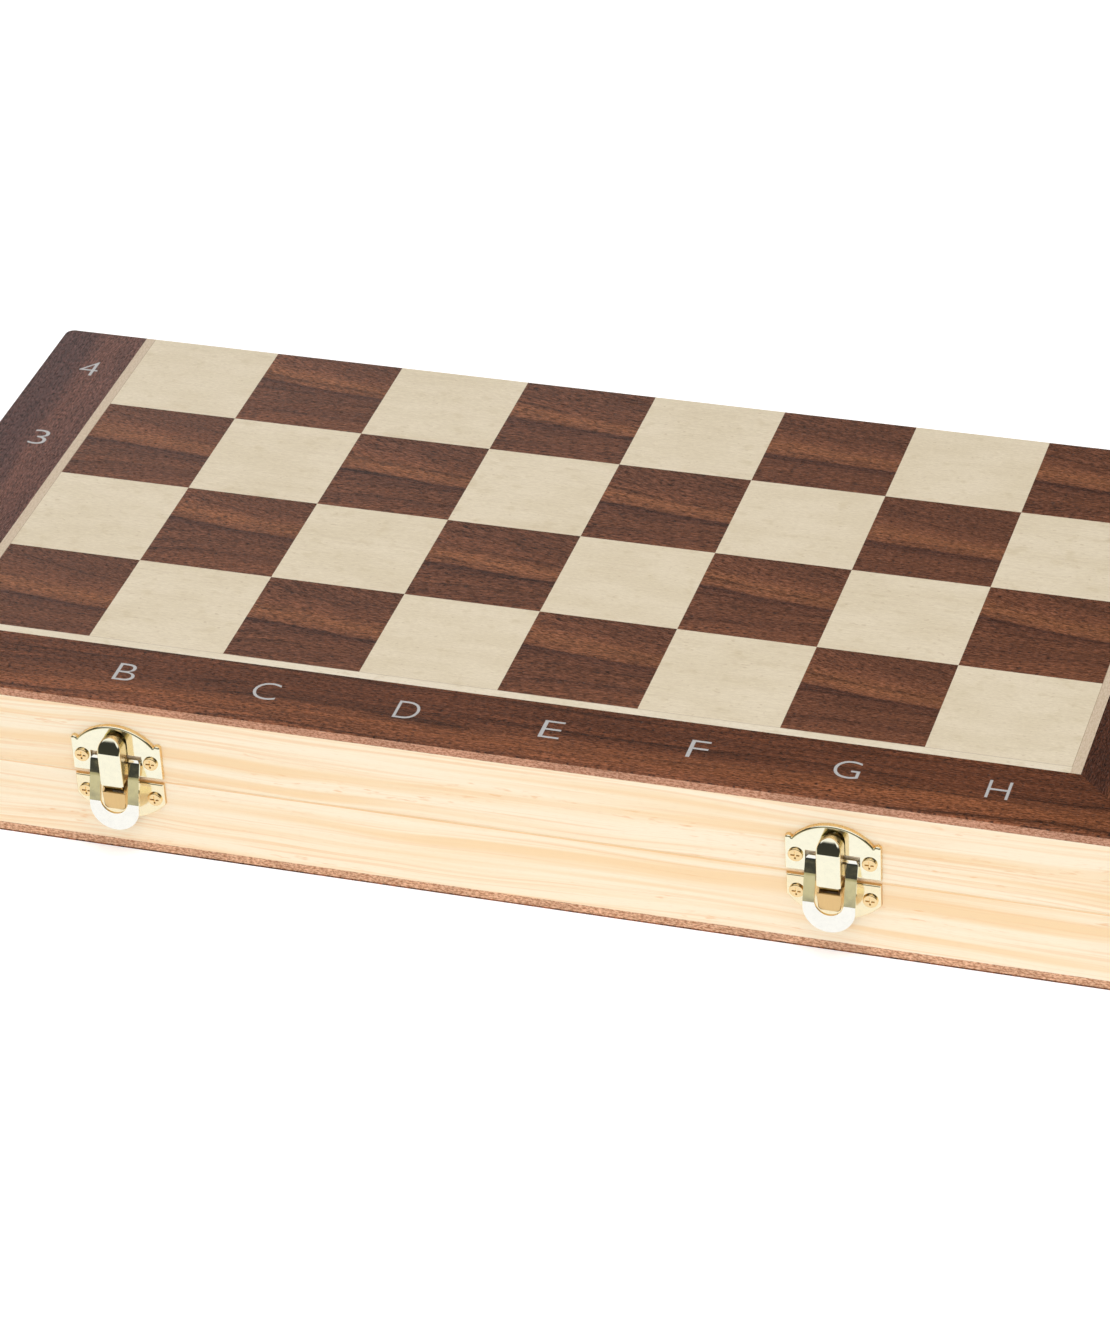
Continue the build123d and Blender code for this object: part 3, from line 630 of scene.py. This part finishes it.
# Each lamp's place, the point that it is aimed at, its width in metres and its power in watts
lamps = {
    "overhead": ((0.25, -0.25, 1.6), (0, 0, 0), 0.9, 11.4),
    "front": ((0.15, -1.9, 0.9), (0, 0, 0.02), 1.2, 18.6),
    "rear": ((-0.10, 1.9, 0.3), (0, 0, 0.02), 1.0, 8.5),
}

white = (1.0, 1.0, 1.0)
fill_light = (0.44, 0.44, 0.45)
window_light = (1.62, 1.62, 1.62)
window_direction = (-0.59, 0.81, 0.0)

# What shiny surfaces see of the walls, by height: 0.5 is the horizon and 1 is straight up
mirrored_walls = (
    (0.500, (0.48, 0.43, 0.22)),
    (0.520, (0.045, 0.045, 0.035)),
    (0.900, (0.030, 0.030, 0.030)),
    (0.945, white),
)

# What they see of the floor, by distance from the case, as a share of mirrored_reach in millimetres
mirrored_reach = 400
mirrored_floor = (
    (0.22, white),
    (0.25, (0.09, 0.08, 0.05)),
    (0.30, (0.16, 0.14, 0.08)),
    (0.42, (0.56, 0.50, 0.25)),
)

floor_half_width = 6.0
floor_colour = (0.92, 0.92, 0.92)


def area_light(name, place, target, size, power):
    """A square soft light, aimed at a point and left out of reflections."""
    data = bpy.data.lights.new(name, "AREA")
    data.size = size
    data.energy = power
    light = bpy.data.objects.new(name, data)
    bpy.context.scene.collection.objects.link(light)
    light.location = place
    light.rotation_euler = (Vector(target) - Vector(place)).to_track_quat("-Z", "Y").to_euler()
    light.visible_glossy = False


def make_world():
    """White to the camera, an even fill to matt surfaces, and dark walls with lights to shiny ones."""
    world = bpy.data.worlds.new("studio")
    bpy.context.scene.world = world
    s = Shader("studio", world)
    direction = s.node("TexCoord").outputs["Generated"]
    back, height = s.node("SeparateXYZ", {0: direction}).outputs[1:]
    walls = s.ramp(s.math("MULTIPLY_ADD", height, 0.5, 0.5), mirrored_walls)
    front_screen = s.times(s.band(height, 0.58, 0.68), s.band(back, 0.10, -0.10))
    walls = s.mix(front_screen, walls, white)
    facing = s.node("VectorMath", {0: direction, 1: window_direction}, operation="DOT_PRODUCT")
    window = s.times(s.band(facing.outputs["Value"], 0.81, 0.85), s.band(height, 0.20, 0.32))
    walls = s.mix(window, walls, window_light)
    rays = s.node("LightPath").outputs
    indirect = s.mix(rays["Is Glossy Ray"], fill_light, walls)
    seen = s.mix(rays["Is Camera Ray"], indirect, white)
    s.finish(s.node("Background", {"Color": seen, "Strength": 1.0}), "OutputWorld")


def make_floor():
    """A wide white floor that keeps the object's shadow and, mirrored in metal, soon darkens."""
    half = floor_half_width
    corners = [(-half, -half, 0), (half, -half, 0), (half, half, 0), (-half, half, 0)]
    mesh = bpy.data.meshes.new("floor")
    mesh.from_pydata(corners, [], [(0, 1, 2, 3)])
    floor = bpy.data.objects.new("floor", mesh)
    bpy.context.scene.collection.objects.link(floor)
    s = Shader("floor")
    x, y = s.position()[:2]
    beside = s.math("MAXIMUM", s.minus(s.math("ABSOLUTE", x), cad_high[0] / MM), 0.0)
    ahead = s.math("MAXIMUM", s.minus(s.math("ABSOLUTE", y), -cad_low[1] / MM), 0.0)
    away = s.math("SQRT", s.math("MULTIPLY_ADD", beside, beside, s.times(ahead, ahead)))
    rays = s.node("LightPath").outputs

    # To the camera, a glow that grows with distance keeps the floor white
    whitening = s.times(rays["Is Camera Ray"], s.band(away, 150, 1500, 0.35, 1.0))
    lit = s.node("BsdfDiffuse", {"Color": (*floor_colour, 1)})
    glow = s.node("Emission", {"Color": (*white, 1), "Strength": whitening})
    seen = s.node("AddShader", {0: lit.outputs[0], 1: glow.outputs[0]})

    # To shiny surfaces, it has its own colours
    mirrored = s.ramp(s.math("DIVIDE", away, mirrored_reach), mirrored_floor)
    mirror = s.node("Emission", {"Color": mirrored, "Strength": 1.0})
    mirrored_share = s.times(rays["Is Glossy Ray"], 0.9)
    blend = s.node("MixShader", {0: mirrored_share, 1: seen.outputs[0], 2: mirror.outputs[0]})
    mesh.materials.append(s.finish(blend))


def make_studio():
    """The world, the floor and the lamps."""
    make_world()
    make_floor()
    for name, settings in lamps.items():
        area_light(name, *settings)
    bpy.context.scene.view_settings.view_transform = "Standard"


make_camera()
dress()
make_labels()
make_studio()
